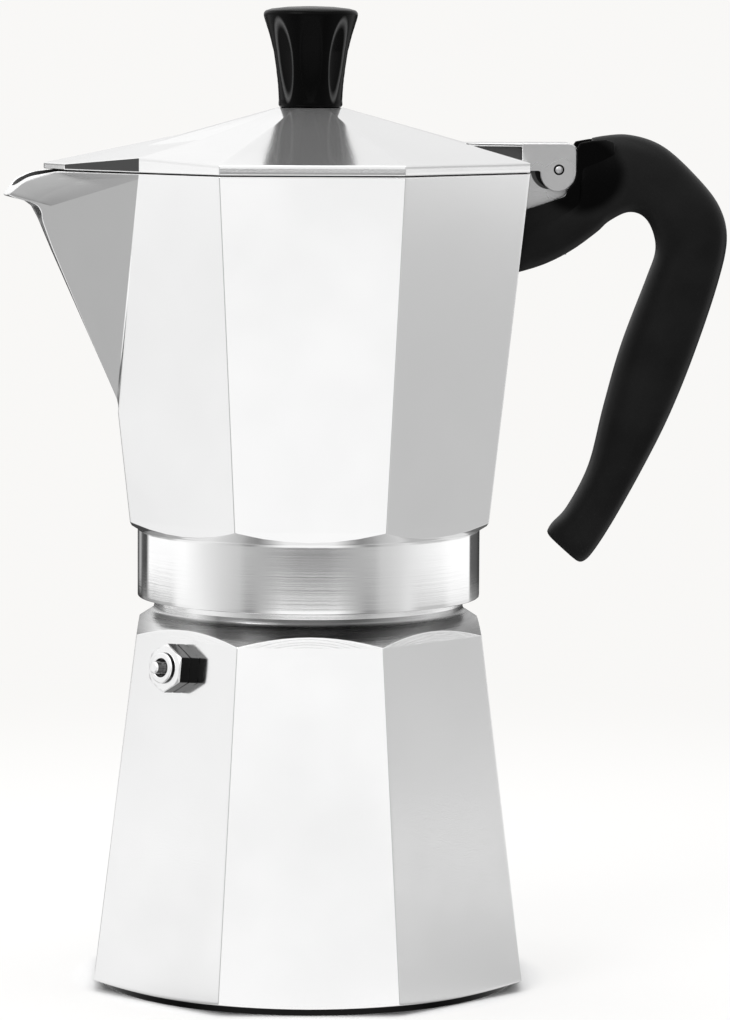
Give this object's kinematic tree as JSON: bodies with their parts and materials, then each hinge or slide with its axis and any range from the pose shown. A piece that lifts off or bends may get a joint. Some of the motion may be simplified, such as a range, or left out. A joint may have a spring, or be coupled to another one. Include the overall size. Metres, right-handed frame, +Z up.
{
  "type": "moka pot",
  "caption": "Eight-sided stovetop moka pot with pressure valve, funnel basket, screwed collector with V spout, hinged lid with knob, and hooked handle.",
  "frame": {"origin": "centre of the boiler's flat standing face", "axes": "+Z up the pot's axis, -X towards the spout, +X towards the handle, Y across the pot"},
  "size_m": [0.1609, 0.0956, 0.2172],
  "materials": {
    "aluminium_polished": "polished cast aluminium",
    "aluminium_cast": "satin cast and turned aluminium",
    "aluminium_sheet": "spun and pressed sheet aluminium",
    "brass": "turned brass",
    "steel": "drawn steel",
    "silicone": "moulded silicone",
    "fibre": "pressed fibre",
    "bakelite": "satin black phenolic moulding"
  },
  "bodies": {
    "boiler": {"boiler": "aluminium_cast", "valve_body": "brass", "valve_cap": "brass", "valve_nut": "brass", "valve_washer": "fibre", "valve_spring": "steel"},
    "valve_stem": {"valve_stem": "steel"},
    "funnel": {"funnel_tube": "aluminium_sheet", "basket_cup": "aluminium_sheet", "basket_screen": "aluminium_sheet"},
    "gasket": {"gasket": "silicone"},
    "filter": {"filter_plate": "aluminium_sheet"},
    "collector": {"collector": "aluminium_polished", "chimney": "aluminium_cast", "handle": "bakelite", "handle_screw": "steel", "hinge_pin": "steel"},
    "lid": {"lid": "aluminium_polished", "knob": "bakelite", "knob_screw": "steel", "knob_washer": "steel"}
  },
  "joints": [
    {"name": "valve_press", "type": "slide", "parent": "boiler", "child": "valve_stem", "axis": [-0.702, -0.702, 0.1205], "range_m": [0, 0.0015], "stiffness_N_per_m": 400, "deforming": ["valve_spring"]},
    {"name": "funnel_lift", "type": "slide", "parent": "boiler", "child": "funnel", "axis": [0, 0, 1], "range_m": [0, 0.08]},
    {"name": "collector_lift", "type": "slide", "parent": "boiler", "child": "gasket", "axis": [0, 0, 1], "range_m": [0, 0.16]},
    {"name": "thread_rise", "type": "slide", "parent": "gasket", "child": "filter", "axis": [0, 0, 1], "range_m": [0, 0.0072]},
    {"name": "collector_turn", "type": "hinge", "parent": "filter", "child": "collector", "pos_m": [0, 0, 0.1], "axis": [0, 0, 1], "range_deg": [0, 1080]},
    {"name": "lid_hinge", "type": "hinge", "parent": "collector", "child": "lid", "pos_m": [0.0548, 0, 0.18147], "axis": [0, 1, 0], "range_deg": [0, 100]}
  ],
  "couplings": [
    {"joint": "thread_rise", "follows": "collector_turn", "m_per_rad": 0.00038197},
    {"joint": "funnel_lift", "follows": "collector_lift", "ratio": 0.5}
  ]
}
